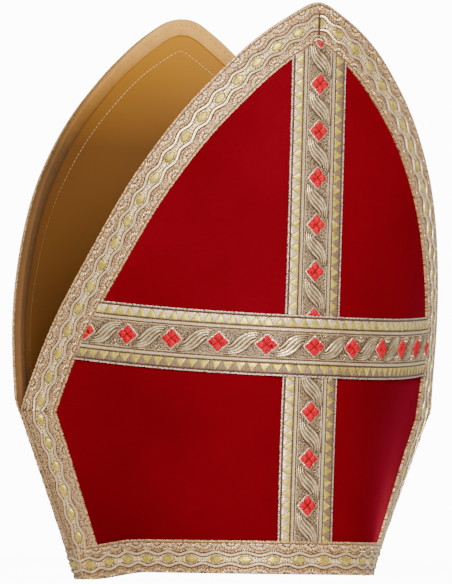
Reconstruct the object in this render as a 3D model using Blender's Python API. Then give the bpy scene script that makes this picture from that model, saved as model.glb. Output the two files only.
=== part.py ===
"""A bishop's mitre: two stiffened velvet panels, lined, with gold trimmings, opened as it is worn.

The mitre stands on its hem at z = 0, with the front horn towards -Y and the side seams at -X and +X. Every
layer lies on one curved wall. A point of it is given by s, the distance from the middle of the panel round
the wall, by z, its height, and by h, its distance outward from the inner face of the lining.
"""

from collections import namedtuple
import math

import bmesh
import bpy
import numpy as np

FRONT = -1
REAR = 1

# Overall form, measured on the inner face of the lining
HEIGHT = 0.325
KNEE_HEIGHT = 0.095
HEM_HALF_WIDTH = 0.089
KNEE_HALF_WIDTH = 0.1274
HEM_HALF_DEPTH = 0.1004
FLARE_FADE = 0.1
HEM_RISE = 0.0036
PEAK_HALF_WIDTH = 0.002

# Walls of the cloth layers, from the inside out
LINING_WALL = 0.001
PANEL_WALL = 0.0016
TRIM_WALL = 0.001
BINDING_WALL = 0.0008

# Clearances
LAYER_GAP = 0.0003
TRIM_GAP = 0.0006
BINDING_GAP = 0.0006
SEAM_GAP = 0.0003
BUTT_GAP = 0.0004

# Trimmings
BORDER_WIDTH = 0.021
ORPHREY_WIDTH = 0.035
CROSS_HEIGHT = 0.131
CROSS_BOW = 0.0075
CROSS_TILT = -0.0008
CROSS_STEP = 0.005
BINDING_WIDTH = 0.0078

# The plan at four levels. A level's height is a share of the seam below the knee plus a share of the horn
# above it, and the depths are shares of HEM_HALF_DEPTH. Fullness swells the wall between the middle and the
# seam, and closing says how steeply it runs into the seam.
Level = namedtuple("Level", "seam horn front rear fullness closing")
LEVELS = (
    Level(seam=0.0, horn=0.0, front=1.0, rear=1.0, fullness=0.9, closing=0.3),
    Level(seam=1.0, horn=0.0, front=1.045, rear=1.06, fullness=-0.3, closing=0.33),
    Level(seam=1.0, horn=0.134, front=1.06, rear=0.995, fullness=-0.2, closing=0.36),
    Level(seam=1.0, horn=1.0, front=1.126, rear=0.642, fullness=-0.15, closing=1.4),
)

# The outline of a horn: how much of the half girth at the knee is left, up the horn
Outline = namedtuple("Outline", "horn girth")
HORN_OUTLINE = (
    Outline(horn=0.0, girth=1.0),
    Outline(horn=0.2, girth=0.881),
    Outline(horn=0.4, girth=0.724),
    Outline(horn=0.6, girth=0.557),
    Outline(horn=0.8, girth=0.34),
    Outline(horn=0.93, girth=0.15),
    Outline(horn=1.0, girth=0.0),
)

# The hem stands on its two sides, from this share of the half girth on, and is hollowed between them
HEM_FOOT = 0.82
HEM_ARCH = 0.4

# Facets
PANEL_COLUMNS = 24
SEAM_ROWS = 4
HORN_ROWS = 14
BORDER_SEAM_ROWS = 8
BORDER_HORN_ROWS = 20
STRIP_COLUMNS = 3
PLAN_STEPS = 160
CROWDING = 60

# Depths of the layers' faces, outward from the inner face of the lining
PANEL_INSIDE = LINING_WALL + LAYER_GAP
PANEL_OUTSIDE = PANEL_INSIDE + PANEL_WALL
TRIM_INSIDE = PANEL_OUTSIDE + TRIM_GAP
TRIM_OUTSIDE = TRIM_INSIDE + TRIM_WALL
CROSSING_STEP = TRIM_WALL + TRIM_GAP

COLLECTION = "bishop_mitre"
VELVET = ("red_velvet", (0.27, 0.002, 0.004, 1.0), 0.85, 0.0)
COTTON = ("gold_cotton", (0.30, 0.14, 0.03, 1.0), 0.8, 0.0)
GALLOON = ("gold_galloon", (0.55, 0.40, 0.22, 1.0), 0.45, 0.6)
TAPE = ("tan_tape", (0.45, 0.30, 0.14, 1.0), 0.7, 0.0)


def through(stations, values, at):
    """A smooth curve through the values at the stations, read at other places."""
    stations, values, at = (np.asarray(item, float) for item in (stations, values, at))
    slopes = np.gradient(values, stations)
    step = np.clip(np.searchsorted(stations, at, side="right") - 1, 0, len(stations) - 2)
    length = stations[step + 1] - stations[step]
    t = np.clip((at - stations[step]) / length, 0.0, 1.0)
    start = (2 * t**3 - 3 * t**2 + 1) * values[step] + (t**3 - 2 * t**2 + t) * length * slopes[step]
    end = (3 * t**2 - 2 * t**3) * values[step + 1] + (t**3 - t**2) * length * slopes[step + 1]
    return start + end


def smooth_step(value):
    value = np.clip(value, 0.0, 1.0)
    return value * value * (3 - 2 * value)


def level_values(column, z):
    """One column of the table of levels at the heights z."""
    horn_height = HEIGHT - KNEE_HEIGHT
    heights = [level.seam * KNEE_HEIGHT + level.horn * horn_height for level in LEVELS]
    return through(heights, [getattr(level, column) for level in LEVELS], z)


def half_width(z):
    """Half the width between the seams: a straight flare to the knee, which dies out above it."""
    flare = (KNEE_HALF_WIDTH - HEM_HALF_WIDTH) / KNEE_HEIGHT
    above = np.maximum(z - KNEE_HEIGHT, 0.0)
    return HEM_HALF_WIDTH + flare * (np.minimum(z, KNEE_HEIGHT) + FLARE_FADE * (1 - np.exp(-above / FLARE_FADE)))


def plan(side, z, share):
    """The wall's x, y and slope at a share of the half width, from the middle to the seam."""
    width = half_width(z)
    depth = HEM_HALF_DEPTH * level_values("front" if side == FRONT else "rear", z)
    full = level_values("fullness", z)
    pinch = level_values("closing", z) - 1 - full
    t = share * share
    swell = 1 + full * t + pinch * t * t
    y = side * depth * (1 - t) * swell
    slope = side * depth * 2 * share * ((1 - t) * (full + 2 * pinch * t) - swell) / width
    return width * share, y, slope


def girth_table(side, z):
    """Shares of the half width and the distance round the wall to each, at the heights z."""
    share = np.sin(np.linspace(0, math.pi / 2, PLAN_STEPS + 1))[None, :]
    x, y, _ = plan(side, np.asarray(z, float)[:, None], share)
    steps = np.hypot(np.diff(x, axis=1), np.diff(y, axis=1))
    round_wall = np.concatenate([np.zeros((len(x), 1)), np.cumsum(steps, axis=1)], axis=1)
    return share[0], round_wall


def half_girth(side, z):
    """The distance round the wall from the middle to the seam."""
    return girth_table(side, np.atleast_1d(z))[1][:, -1]


def seam_plane():
    """How far the seams lie behind the middle of the box, as the front leans out further than the rear."""
    z = np.linspace(0.0, HEIGHT, PLAN_STEPS)
    front = HEM_HALF_DEPTH * level_values("front", z).max() + TRIM_OUTSIDE
    rear = HEM_HALF_DEPTH * level_values("rear", z).max() + PANEL_OUTSIDE
    return (front - rear) / 2


def place(side, s, z, h):
    """Points of the wall in space."""
    s, z, h = (np.asarray(item, float) for item in (s, z, h))
    shares, table = girth_table(side, z)
    share = np.array([np.interp(abs(reach), row, shares) for reach, row in zip(s, table)])
    x, y, slope = plan(side, z, share)
    length = np.hypot(1.0, slope)
    x = np.sign(s) * (x - side * slope / length * h)
    y = y + side * (h / length + SEAM_GAP / 2) + seam_plane()
    return np.stack([x, y, z], axis=-1)


def edge_reach(side, z):
    """How far a panel reaches from its middle: to the seam, and above the knee to the horn's edge."""
    z = np.atleast_1d(np.asarray(z, float))
    up_horn = np.clip((z - KNEE_HEIGHT) / (HEIGHT - KNEE_HEIGHT), 0.0, 1.0)
    girth = through([row.horn for row in HORN_OUTLINE], [row.girth for row in HORN_OUTLINE], up_horn)
    at_knee = half_girth(side, KNEE_HEIGHT)[0]
    horn = PEAK_HALF_WIDTH + np.maximum(girth, 0.0) * (at_knee - PEAK_HALF_WIDTH)
    return np.where(z <= KNEE_HEIGHT, half_girth(side, z), horn)


def hem_height(share):
    """The height of the hem's lower edge at a share of the half girth."""
    return HEM_RISE * smooth_step((HEM_FOOT - np.abs(share)) / (HEM_FOOT - HEM_ARCH))


def crowded(share):
    """Shares of a length, from -1 to 1, drawn together towards the ends."""
    turn = math.radians(CROWDING)
    return np.sin(share * turn) / math.sin(turn)


def level_rows(seam_rows, horn_rows):
    """Heights from the hem to the peak with one of them at the knee, closer together near the peak."""
    seam = np.linspace(0.0, KNEE_HEIGHT, seam_rows + 1)
    climb = crowded(np.arange(1, horn_rows + 1) / horn_rows)
    return np.concatenate([seam, KNEE_HEIGHT + (HEIGHT - KNEE_HEIGHT) * climb])


def outline(side):
    """Stations along the edge of half a panel, from the hem up the seam and the horn to the middle."""
    z = level_rows(BORDER_SEAM_ROWS, BORDER_HORN_ROWS)
    s = edge_reach(side, z)
    return np.append(s, 0.0), np.append(z, HEIGHT)


def inset(s, z, width):
    """The stations of an outline moved inward by a width, with a mitre at the knee and at the middle."""
    along = np.stack([np.diff(s), np.diff(z)], axis=-1)
    along /= np.linalg.norm(along, axis=1)[:, None]
    inward = np.stack([-along[:, 1], along[:, 0]], axis=-1)
    before = np.vstack([inward[:1], inward])
    after = np.vstack([inward, inward[-1:]])
    mitre = (before + after) / (1 + np.sum(before * after, axis=1))[:, None]
    mitre[-2] = inward[-2]
    run = np.full(len(s), float(width))
    crossing = s + mitre[:, 0] * run < 0
    run[crossing] = s[crossing] / -mitre[crossing, 0]
    inner_s = s + mitre[:, 0] * run
    inner_z = z + mitre[:, 1] * run
    inner_s[-1] = 0.0
    inner_z[-1] = inner_z[-2]
    return np.maximum(inner_s, 0.0), inner_z


def border_edge(side):
    """The inner edge of the border as s and z, from the hem to the middle."""
    s, z = outline(side)
    return inset(s, z, BORDER_WIDTH)


def border_edge_reach(side, z):
    """How far the border's inner edge lies from the middle at the heights z."""
    inner_s, inner_z = border_edge(side)
    return np.interp(z, inner_z, inner_s)


def border_edge_height(side, s):
    """How high the border's inner edge lies at the distances s from the middle."""
    inner_s, inner_z = border_edge(side)
    up = slice(BORDER_SEAM_ROWS, np.count_nonzero(inner_s))
    return np.interp(np.abs(s), inner_s[up][::-1], inner_z[up][::-1])


def make_material(finish):
    name, colour, roughness, metallic = finish
    material = bpy.data.materials.get(name)
    if material is None:
        material = bpy.data.materials.new(name)
        material.use_nodes = True
        shader = material.node_tree.nodes["Principled BSDF"]
        shader.inputs["Base Color"].default_value = colour
        shader.inputs["Roughness"].default_value = roughness
        shader.inputs["Metallic"].default_value = metallic
        material.diffuse_color = colour
    return material


def add_object(name, mesh_edit, finish, parent, collection):
    """Turn a finished bmesh into a named object with its material."""
    bmesh.ops.recalc_face_normals(mesh_edit, faces=mesh_edit.faces)
    if mesh_edit.calc_volume(signed=True) < 0:
        bmesh.ops.reverse_faces(mesh_edit, faces=mesh_edit.faces)
    mesh = bpy.data.meshes.new(name)
    mesh_edit.to_mesh(mesh)
    mesh_edit.free()
    mesh.materials.append(make_material(finish))
    mesh.shade_smooth()
    mesh.set_sharp_from_angle(angle=math.radians(40))
    item = bpy.data.objects.new(name, mesh)
    item.parent = parent
    collection.objects.link(item)
    return item


def wall_mesh(side, columns, rows, layout, inside, outside):
    """A closed wall: a grid laid out on the panel as s and z, and thickened from one depth to another.

    layout takes the column and row of each grid point. A depth is a number, or a function of s.
    """
    mesh_edit = bmesh.new()
    bmesh.ops.create_grid(mesh_edit, x_segments=columns, y_segments=rows, size=1.0)
    inner = set(mesh_edit.verts)
    bmesh.ops.extrude_face_region(mesh_edit, geom=mesh_edit.faces[:])
    points = list(mesh_edit.verts)
    column = np.array([round((point.co.x + 1) / 2 * columns) for point in points])
    row = np.array([round((point.co.y + 1) / 2 * rows) for point in points])
    s, z = layout(column, row)
    is_inner = np.array([point in inner for point in points])
    depths = [depth(s) if callable(depth) else np.full(len(s), depth) for depth in (inside, outside)]
    for point, position in zip(points, place(side, s, z, np.where(is_inner, *depths))):
        point.co = position
    return mesh_edit


def mirror_half(mesh_edit):
    """Complete a half that is open at the middle plane with its mirror image."""
    on_plane = 1e-6
    loose = [face for face in mesh_edit.faces if all(abs(point.co.x) < on_plane for point in face.verts)]
    bmesh.ops.delete(mesh_edit, geom=loose, context="FACES")
    geometry = mesh_edit.verts[:] + mesh_edit.edges[:] + mesh_edit.faces[:]
    bmesh.ops.mirror(mesh_edit, geom=geometry, axis="X", merge_dist=on_plane)
    bmesh.ops.remove_doubles(mesh_edit, verts=mesh_edit.verts, dist=on_plane)
    return mesh_edit


def panel_layout(side):
    """The whole shield of a panel: columns from edge to edge, rows from the hem to the peak."""
    heights = level_rows(SEAM_ROWS, HORN_ROWS)

    def layout(column, row):
        share = crowded(column / PANEL_COLUMNS * 2 - 1)
        base = heights[row]
        lift = hem_height(share) * np.clip(1 - base / KNEE_HEIGHT, 0.0, 1.0)
        z = base + lift
        return share * edge_reach(side, z), z

    return layout


def make_panel(side, inside, outside):
    return wall_mesh(side, PANEL_COLUMNS, SEAM_ROWS + HORN_ROWS, panel_layout(side), inside, outside)


def make_hem(side):
    """The strip of galloon along the bottom, from seam to seam."""

    def layout(column, row):
        share = crowded(column / PANEL_COLUMNS * 2 - 1)
        z = hem_height(share) + row / (STRIP_COLUMNS - 1) * BORDER_WIDTH
        return share * half_girth(side, z), z

    return wall_mesh(side, PANEL_COLUMNS, STRIP_COLUMNS - 1, layout, TRIM_INSIDE, TRIM_OUTSIDE)


def make_border(side):
    """The strip of galloon up the seam, turned at the knee and along the horn's edge to the peak."""
    outer_s, outer_z = outline(side)
    inner_s, inner_z = border_edge(side)
    start = BORDER_WIDTH + BUTT_GAP
    foot = BORDER_SEAM_ROWS * start / KNEE_HEIGHT
    count = len(outer_z) - 1
    stations = np.concatenate([[foot], np.arange(math.ceil(foot + 0.4), count + 1)])

    def layout(column, row):
        station = stations[row]
        across = column / STRIP_COLUMNS
        ends = [np.interp(station, np.arange(count + 1), line) for line in (outer_s, inner_s, outer_z, inner_z)]
        s = ends[0] + (ends[1] - ends[0]) * across
        z = ends[2] + (ends[3] - ends[2]) * across
        z = np.where(row == 0, start, z)
        return np.minimum(s, edge_reach(side, z)), z

    return mirror_half(wall_mesh(side, STRIP_COLUMNS, len(stations) - 1, layout, TRIM_INSIDE, TRIM_OUTSIDE))


def make_upright_orphrey():
    """The wide band up the middle of the front, from the hem's galloon to the border at the peak."""
    columns = 6
    rows = 20

    def layout(column, row):
        s = (column / columns * 2 - 1) * ORPHREY_WIDTH / 2
        low = hem_height(s / half_girth(FRONT, 0.0)[0]) + BORDER_WIDTH + BUTT_GAP
        high = border_edge_height(FRONT, s) - BUTT_GAP
        return s, low + (high - low) * row / rows

    return wall_mesh(FRONT, columns, rows, layout, TRIM_INSIDE, TRIM_OUTSIDE)


def make_cross_orphrey():
    """The wide band across the front horn between the borders, which steps up over the upright band."""
    over = 2
    side_columns = 11
    columns = 2 * (over + 1 + side_columns)
    flat = ORPHREY_WIDTH / 2 + BUTT_GAP
    foot = flat + CROSS_STEP

    def layout(column, row):
        away = column - columns // 2
        upward = (row / STRIP_COLUMNS - 0.5) * ORPHREY_WIDTH
        rough = np.clip(away / (columns / 2), -1, 1)
        z = CROSS_HEIGHT + upward + CROSS_BOW * rough**2 + CROSS_TILT * rough
        end = border_edge_reach(FRONT, z) - BUTT_GAP
        beyond = foot + (end - foot) * (np.abs(away) - over - 1) / side_columns
        s = np.where(np.abs(away) <= over, np.abs(away) / over * flat, beyond)
        return np.sign(away) * s, z

    def raised(depth):
        return lambda s: depth + CROSSING_STEP * smooth_step((foot - np.abs(s)) / CROSS_STEP)

    return wall_mesh(FRONT, columns, STRIP_COLUMNS, layout, raised(TRIM_INSIDE), raised(TRIM_OUTSIDE))


def make_binding(side):
    """The tape round a horn's raw edge: a leg on the lining and a leg across the edge of the cloth."""
    edge_s, edge_z = outline(side)
    first = BORDER_SEAM_ROWS + 1
    edge = slice(first, None)
    inner_face = -BINDING_GAP
    tape_face = inner_face - BINDING_WALL
    outer_face = PANEL_OUTSIDE
    near = -BINDING_GAP
    far = near - BINDING_WALL
    profile = (
        (far, tape_face),
        (BINDING_WIDTH, tape_face),
        (BINDING_WIDTH, inner_face),
        (near, inner_face),
        (near, outer_face),
        (far, outer_face),
    )
    lines = [inset(edge_s, edge_z, inward) for inward, _ in profile]
    count = len(edge_s) - first
    mesh_edit = bmesh.new()
    bmesh.ops.create_circle(mesh_edit, cap_ends=False, segments=len(profile), radius=1.0)
    rings = [list(mesh_edit.verts)]
    edges = list(mesh_edit.edges)
    for _ in range(count - 1):
        made = bmesh.ops.extrude_edge_only(mesh_edit, edges=edges)["geom"]
        by_place = {tuple(point.co): point for point in made if isinstance(point, bmesh.types.BMVert)}
        edges = [item for item in made if isinstance(item, bmesh.types.BMEdge)]
        rings.append([by_place[tuple(point.co)] for point in rings[0]])
    for step, ring in enumerate(rings):
        s = np.array([line[0][edge][step] for line in lines])
        z = np.array([line[1][edge][step] for line in lines])
        h = np.array([depth for _, depth in profile])
        for point, position in zip(ring, place(side, s, z, h)):
            point.co = position
    mirror_half(mesh_edit)
    bmesh.ops.holes_fill(mesh_edit, edges=mesh_edit.edges, sides=len(profile))
    return mesh_edit


def build():
    for item in list(bpy.data.objects):
        bpy.data.objects.remove(item, do_unlink=True)
    collection = bpy.data.collections.new(COLLECTION)
    bpy.context.scene.collection.children.link(collection)
    mitre = bpy.data.objects.new("mitre", None)
    collection.objects.link(mitre)
    for side, name in ((FRONT, "front"), (REAR, "rear")):
        pieces = (
            ("lining", make_panel(side, 0.0, LINING_WALL), COTTON),
            ("panel", make_panel(side, PANEL_INSIDE, PANEL_OUTSIDE), VELVET),
            ("hem", make_hem(side), GALLOON),
            ("border", make_border(side), GALLOON),
            ("binding", make_binding(side), TAPE),
        )
        for piece, mesh_edit, finish in pieces:
            add_object(f"{name}_{piece}", mesh_edit, finish, mitre, collection)
    add_object("upright_orphrey", make_upright_orphrey(), GALLOON, mitre, collection)
    add_object("cross_orphrey", make_cross_orphrey(), GALLOON, mitre, collection)


build()
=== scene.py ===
"""The looks of a bishop's mitre: velvet, lining, binding, woven galloon and two wide bands, on the CAD part.

A trimming is modelled flat, one repeat of its weave at a time. The repeat is arrayed to the length of a
strip, laid along the strip's line on the panel's flat pattern, cut where it is mitred, and wrapped on the
wall.
"""

from collections import namedtuple
import math

import bpy
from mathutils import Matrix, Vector, noise
import numpy as np


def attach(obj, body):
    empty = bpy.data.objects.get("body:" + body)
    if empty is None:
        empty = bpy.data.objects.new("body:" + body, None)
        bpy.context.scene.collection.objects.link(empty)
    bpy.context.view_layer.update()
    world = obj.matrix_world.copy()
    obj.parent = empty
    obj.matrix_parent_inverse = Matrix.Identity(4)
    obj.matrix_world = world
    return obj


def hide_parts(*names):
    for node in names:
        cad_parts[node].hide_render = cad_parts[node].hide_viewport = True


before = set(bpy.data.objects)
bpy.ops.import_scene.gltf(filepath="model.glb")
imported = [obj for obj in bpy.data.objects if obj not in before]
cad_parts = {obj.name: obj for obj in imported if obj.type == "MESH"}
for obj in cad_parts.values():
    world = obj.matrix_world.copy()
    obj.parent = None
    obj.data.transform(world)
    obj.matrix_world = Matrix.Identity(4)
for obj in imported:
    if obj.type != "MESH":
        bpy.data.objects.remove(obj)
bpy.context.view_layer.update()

bl_info = {
    "name": "Bishop mitre",
    "version": (1, 0, 0),
    "blender": (4, 5, 0),
    "location": "View3D > Sidebar > Mitre",
    "description": "Builds a velvet mitre with woven metal thread trimmings",
    "category": "Add Mesh",
}

FRONT = -1
REAR = 1
NAMES = {FRONT: "front", REAR: "rear"}
MM = 0.001

# The plan of the wall at four levels, as in the CAD part
Level = namedtuple("Level", "seam horn front rear fullness closing")
LEVELS = (
    Level(seam=0.0, horn=0.0, front=1.0, rear=1.0, fullness=0.9, closing=0.3),
    Level(seam=1.0, horn=0.0, front=1.045, rear=1.06, fullness=-0.3, closing=0.33),
    Level(seam=1.0, horn=0.134, front=1.06, rear=0.995, fullness=-0.2, closing=0.36),
    Level(seam=1.0, horn=1.0, front=1.126, rear=0.642, fullness=-0.15, closing=1.4),
)

# How much of the half girth at the knee is left, up the horn
Outline = namedtuple("Outline", "horn girth")
HORN_OUTLINE = (
    Outline(horn=0.0, girth=1.0),
    Outline(horn=0.2, girth=0.881),
    Outline(horn=0.4, girth=0.724),
    Outline(horn=0.6, girth=0.557),
    Outline(horn=0.8, girth=0.34),
    Outline(horn=0.93, girth=0.15),
    Outline(horn=1.0, girth=0.0),
)

# How blunt each peak is: how far it is raised, and how far and how wide its tip is lowered
Peak = namedtuple("Peak", "raised blunt reach")
PEAKS = {FRONT: Peak(0.0, 0.0021, 0.008), REAR: Peak(0.0022, 0.0042, 0.0125)}
PEAK_START = 0.298
PEAK_FADE = 0.022

# Where the lift of the hem ends on each side, as shares of the half girth. The right foot stays lifted
Foot = namedtuple("Foot", "edge fade")
LEFT_FOOT = Foot(0.97, 0.32)
RIGHT_FOOT = Foot(1.25, 0.3)

# How finely the plan is worked out
HEIGHT_STEPS = 160
GIRTH_STEPS = 260
PLAN_STEPS = 241

# How far the rows of a panel are drawn closer together towards the peak, as an angle of a sine
CLIMB = math.radians(70)

# The cross band's face, outward from the lining's inner face, and half the fine gap at the seams
CROSS_FACE = 0.0045
SEAM_GAP = 0.00015

# How much of their thickness the layers lose at a seam, and how far inward and up that fades
PRESSED_SHARE = 0.68
PRESSED_REACH = 0.0055
PRESSED_HEIGHT = 0.012

# A stretch of a trimming: its ends along its strip, its edges across it, its repeats and where it is cut
Leg = namedtuple("Leg", "name strip first last low high phase pitch cuts mirrored lift")


def size(label, metres, words):
    kind = {"unit": "LENGTH", "subtype": "DISTANCE"}
    return bpy.props.FloatProperty(name=label, description=words, default=metres, **kind)


def number(label, value, words):
    return bpy.props.FloatProperty(name=label, description=words, default=value)


def turn(label, degrees, words):
    kind = {"unit": "ROTATION", "subtype": "ANGLE"}
    return bpy.props.FloatProperty(name=label, description=words, default=math.radians(degrees), **kind)


def tint(label, colour, words):
    kind = {"size": 3, "min": 0.0, "max": 1.0, "subtype": "COLOR"}
    return bpy.props.FloatVectorProperty(name=label, description=words, default=colour, **kind)


class MITRE_PG_form(bpy.types.PropertyGroup):
    height: size("Height", 0.325, "From the surface it stands on to the peaks")
    knee: size("Knee height", 0.095, "Where the horns part from each other")
    hem_width: size("Hem half width", 0.089, "Half the width between the seams at the hem")
    knee_width: size("Knee half width", 0.1274, "Half the width between the seams at the knee")
    depth: size("Hem half depth", 0.1004, "From the seams to the middle of a panel at the hem")
    fade: size("Flare fade", 0.1, "How fast the flare dies out above the knee")
    rise: size("Hem rise", 0.0046, "How far the hem's middle is hollowed")
    peak: size("Peak half width", 0.002, "Half the blunt width of a peak")
    velvet_face: size("Velvet face", 0.0029, "The velvet's face, outward from the lining's inner face")
    tape_face: size("Tape face", 0.0042, "The face of a woven trimming, outward from the lining's inner face")


class MITRE_PG_trim(bpy.types.PropertyGroup):
    galloon: size("Galloon width", 0.021, "Width of the galloon on the edges")
    galloon_pitch: size("Galloon repeat", 0.0143, "Length of one repeat of the galloon")
    horn_pitch: size("Horn repeat", 0.0138, "Length of one repeat of the galloon up a horn")
    seam_pitch: size("Seam repeat", 0.0136, "Length of one repeat of the galloon up a seam")
    hem_pitch: size("Hem repeat", 0.01468, "Length of one repeat of the galloon along the hem")
    band: size("Band width", 0.035, "Width of the wide bands")
    band_pitch: size("Band repeat", 0.02635, "Length of one repeat of the wide bands")
    upright_pitch: size("Upright repeat", 0.02614, "Length of one repeat of the upright band")
    upright_shift: size("Upright shift", 0.0014, "How far the upright band lies to the right of the middle")
    first_lozenge: size("First lozenge", 0.0466, "Distance of the top lozenge below the peak")
    cross: size("Cross height", 0.1319, "Height of the cross band's middle")
    bow: size("Cross bow", 0.0052, "How far the cross band rises towards its ends")
    tilt: size("Cross tilt", -0.0022, "How much higher the cross band's right end is")
    cross_shift: size("Cross shift", 0.0017, "Where the cross band's middle lozenge lies beside the middle")
    binding: size("Binding width", 0.0078, "Width of the binding inside a horn")
    hem_shift: size("Hem shift", -0.0026, "Where the hem's first oval lies beside the middle")


class MITRE_PG_colours(bpy.types.PropertyGroup):
    velvet: tint("Velvet", (0.148, 0.002, 0.007), "The velvet's pile")
    lining: tint("Lining", (0.50, 0.22, 0.008), "The cotton inside")
    binding: tint("Binding", (0.77, 0.395, 0.07), "The tape along the raw edges")
    stitches: tint("Stitches", (0.85, 0.64, 0.32), "The thread of the lining's stitches")
    lozenges: tint("Lozenges", (0.68, 0.001, 0.016), "The satin lozenges of the wide bands")
    ovals: tint("Ovals", (0.95, 0.74, 0.16), "The yellow ovals and teeth of the trimmings")


class MITRE_PG_stage(bpy.types.PropertyGroup):
    azimuth: turn("Azimuth", -25.0, "The camera's turn round the mitre")
    elevation: turn("Elevation", -1.8, "The camera's angle above the level")
    roll: turn("Roll", -0.787, "The camera's roll")
    distance: size("Distance", 4.6, "From the camera to the middle of the mitre")
    scale: number("Scale", 1753.8, "Pixels for a metre at the middle of the mitre")
    middle_x: number("Middle column", 229.5, "Column of the picture that the view is centred on")
    middle_y: number("Middle row", 296.2, "Row of the picture that the view is centred on")
    key: number("Key light", 115.0, "Power of the large light")
    fill: number("Fill light", 31.0, "Power of the light on the other side")


def through(stations, values, at):
    """A smooth curve through the values at the stations, read at other places."""
    stations, values, at = (np.asarray(item, float) for item in (stations, values, at))
    slopes = np.gradient(values, stations)
    step = np.clip(np.searchsorted(stations, at, side="right") - 1, 0, len(stations) - 2)
    length = stations[step + 1] - stations[step]
    t = np.clip((at - stations[step]) / length, 0.0, 1.0)
    start = (2 * t**3 - 3 * t**2 + 1) * values[step] + (t**3 - 2 * t**2 + t) * length * slopes[step]
    end = (3 * t**2 - 2 * t**3) * values[step + 1] + (t**3 - t**2) * length * slopes[step + 1]
    return start + end


def smooth_step(value):
    value = np.clip(value, 0.0, 1.0)
    return value * value * (3 - 2 * value)


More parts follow.
